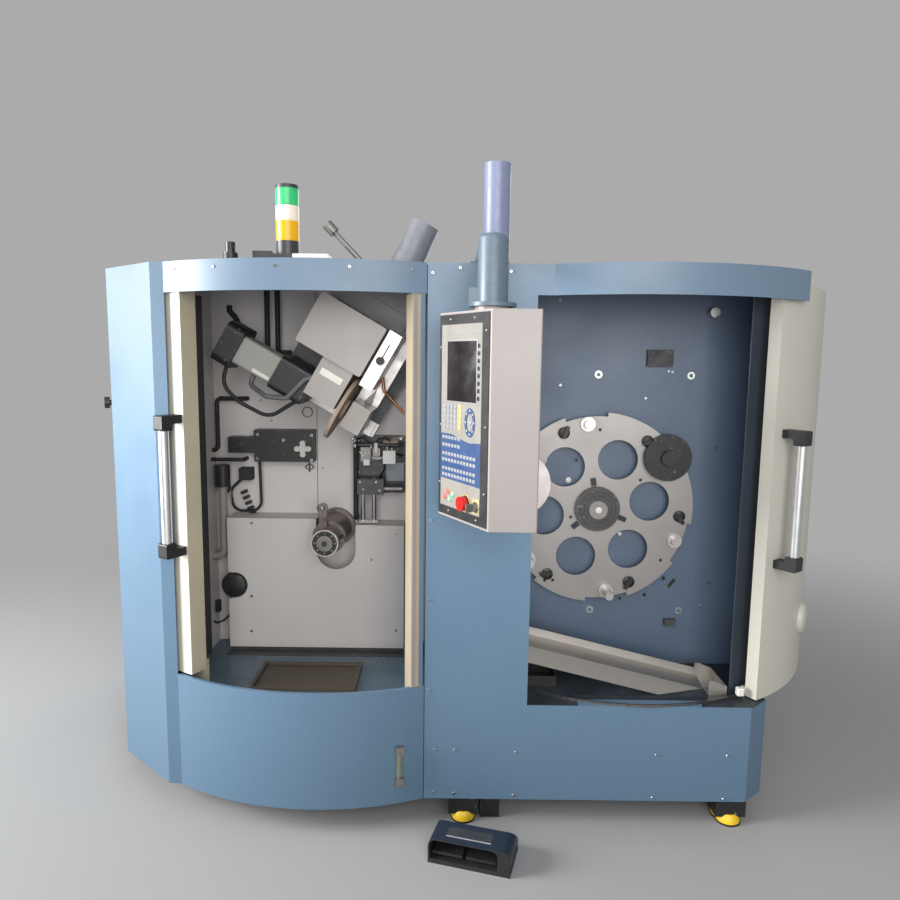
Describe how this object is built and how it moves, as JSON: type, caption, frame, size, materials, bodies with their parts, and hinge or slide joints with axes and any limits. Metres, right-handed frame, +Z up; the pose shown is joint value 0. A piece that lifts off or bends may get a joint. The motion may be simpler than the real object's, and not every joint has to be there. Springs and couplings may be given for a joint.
{
  "type": "saw blade sharpening machine",
  "caption": "Cabinet machine for sharpening circular saw blades: a grinding bay and a blade magazine bay behind curved sliding doors, with a hanging operator console and a foot switch.",
  "frame": {"origin": "on the floor under the centre of the machine's bounding box", "axes": "+X to the right across the front as the operator faces it, +Y to the back, +Z up"},
  "size_m": [2.627, 1.65, 2.105],
  "materials": {
    "blue_paint": "semi-gloss powder coat",
    "cream_paint": "semi-gloss powder coat",
    "pale_grey_paint": "satin powder coat",
    "light_wall": "satin enamel",
    "dark_grey_paint": "satin",
    "black_paint": "semi-matt",
    "yellow_plastic": "satin",
    "black_plastic": "fine grain",
    "grey_plastic": "satin",
    "red_plastic": "gloss",
    "stainless": "brushed",
    "machined_steel": "ground",
    "polished_steel": "polished",
    "anodised": "anodised",
    "seal_rubber": "matt",
    "window_sheet": "clear",
    "lens": "translucent",
    "abrasive": "bonded grit"
  },
  "bodies": {
    "cabinet": {"base_frame": "dark_grey_paint", "frame_uprights": "dark_grey_paint", "leveling_feet": "yellow_plastic", "left_lower_panel": "blue_paint", "left_fascia": "blue_paint", "left_side_panel": "blue_paint", "right_front_panel": "blue_paint", "right_fascia": "blue_paint", "right_side_panel": "blue_paint", "rear_panels": "blue_paint", "roof_panels": "blue_paint", "divider_wall": "blue_paint", "grinding_bay_walls": "light_wall", "arbor_cover": "light_wall", "bay_floors": "blue_paint", "mesh_tray": "stainless", "magazine_back_wall": "blue_paint", "door_rails": "stainless", "seal_posts": "cream_paint", "level_gauge": "window_sheet", "support_arm": "blue_paint", "signal_tower": "lens", "roof_services": "pale_grey_paint", "magazine_bearing": "machined_steel", "loader_beam": "stainless", "chute": "stainless", "wall_fittings": "black_paint", "clamp_frame": "machined_steel", "arbor_housing": "machined_steel", "gearbox_unit": "black_paint", "bay_conduits": "stainless", "head_turret": "dark_grey_paint", "pedal_housing": "grey_plastic"},
    "left_door": {"left_door_panel": "cream_paint", "left_door_window": "window_sheet", "left_door_handle": "black_plastic", "left_door_seal": "seal_rubber"},
    "right_door": {"right_door_panel": "cream_paint", "right_door_handle": "black_plastic"},
    "console": {"console_housing": "cream_paint", "console_face": "black_plastic"},
    "estop": {"estop_button": "red_plastic"},
    "key": {"key_switch": "grey_plastic"},
    "carousel": {"magazine_disc": "anodised", "magazine_hub": "machined_steel", "magazine_knobs": "black_paint"},
    "loader": {"loader_gripper": "polished_steel"},
    "arbor": {"arbor_flange": "machined_steel"},
    "swivel": {"swivel_plate": "dark_grey_paint"},
    "head": {"head_carriage": "dark_grey_paint", "spindle_cover": "cream_paint", "servo_motor": "black_paint", "motor_coupling": "black_paint", "wheel_guard": "machined_steel"},
    "wheel": {"grinding_wheel": "abrasive"},
    "star": {"star_knob": "grey_plastic"},
    "clamp": {"clamp_rods": "polished_steel"},
    "latch": {"side_latch": "black_plastic"},
    "treadle_left": {"pedal_left": "black_plastic"},
    "treadle_right": {"pedal_right": "black_plastic"}
  },
  "joints": [
    {"name": "left_door_travel", "type": "hinge", "parent": "cabinet", "child": "left_door", "pos_m": [-0.4275, 0.334, 1], "axis": [0, 0, 1], "range_deg": [0, 46.6]},
    {"name": "right_door_travel", "type": "hinge", "parent": "cabinet", "child": "right_door", "pos_m": [0.5985, 0.185, 1], "axis": [0, 0, 1], "range_deg": [-61.2, 0]},
    {"name": "console_swivel", "type": "hinge", "parent": "cabinet", "child": "console", "pos_m": [0.0845, -0.695, 1.6], "axis": [0, 0, 1], "range_deg": [-30, 120]},
    {"name": "estop_push", "type": "slide", "parent": "console", "child": "estop", "axis": [0.8619, 0.507, 0], "range_m": [0, 0.005]},
    {"name": "key_turn", "type": "hinge", "parent": "console", "child": "key", "pos_m": [0.0479, -0.77639, 1.09], "axis": [-0.8619, -0.507, 0], "range_deg": [0, 90]},
    {"name": "carousel_spin", "type": "hinge", "parent": "cabinet", "child": "carousel", "pos_m": [0.4835, -0.175, 0.968], "axis": [0, 1, 0], "continuous": true},
    {"name": "loader_slide", "type": "slide", "parent": "cabinet", "child": "loader", "axis": [-1, 0, 0], "range_m": [0, 0.1]},
    {"name": "arbor_spin", "type": "hinge", "parent": "cabinet", "child": "arbor", "pos_m": [-0.4405, -0.175, 0.847], "axis": [0, 1, 0], "continuous": true},
    {"name": "head_swivel", "type": "hinge", "parent": "cabinet", "child": "swivel", "pos_m": [-0.37989, -0.005, 1.44006], "axis": [0, 1, 0], "range_deg": [-4, 4]},
    {"name": "head_infeed", "type": "slide", "parent": "swivel", "child": "head", "axis": [0.5, 0, 0.866], "range_m": [-0.06, 0.01]},
    {"name": "wheel_spin", "type": "hinge", "parent": "head", "child": "wheel", "pos_m": [-0.3805, -0.215, 1.303], "axis": [0.866, 0, -0.5], "continuous": true},
    {"name": "star_knob_turn", "type": "hinge", "parent": "cabinet", "child": "star", "pos_m": [-0.5485, -0.045, 1.144], "axis": [0, 1, 0], "continuous": true},
    {"name": "clamp_lift", "type": "slide", "parent": "cabinet", "child": "clamp", "axis": [0, 0, 1], "range_m": [0, 0.03]},
    {"name": "side_latch_turn", "type": "hinge", "parent": "cabinet", "child": "latch", "pos_m": [-1.15648, -0.19301, 1.311], "axis": [-0.9115, -0.4113, 0], "range_deg": [0, 90]},
    {"name": "pedal_left_press", "type": "hinge", "parent": "cabinet", "child": "treadle_left", "pos_m": [0.05625, -0.58474, 0.026], "axis": [0.9641, -0.2656, 0], "range_deg": [0, 3.4], "stiffness_Nm_per_rad": 30, "springref_deg": -3.44},
    {"name": "pedal_right_press", "type": "hinge", "parent": "cabinet", "child": "treadle_right", "pos_m": [0.05625, -0.58474, 0.026], "axis": [0.9641, -0.2656, 0], "range_deg": [0, 3.4], "stiffness_Nm_per_rad": 30, "springref_deg": -3.44}
  ]
}
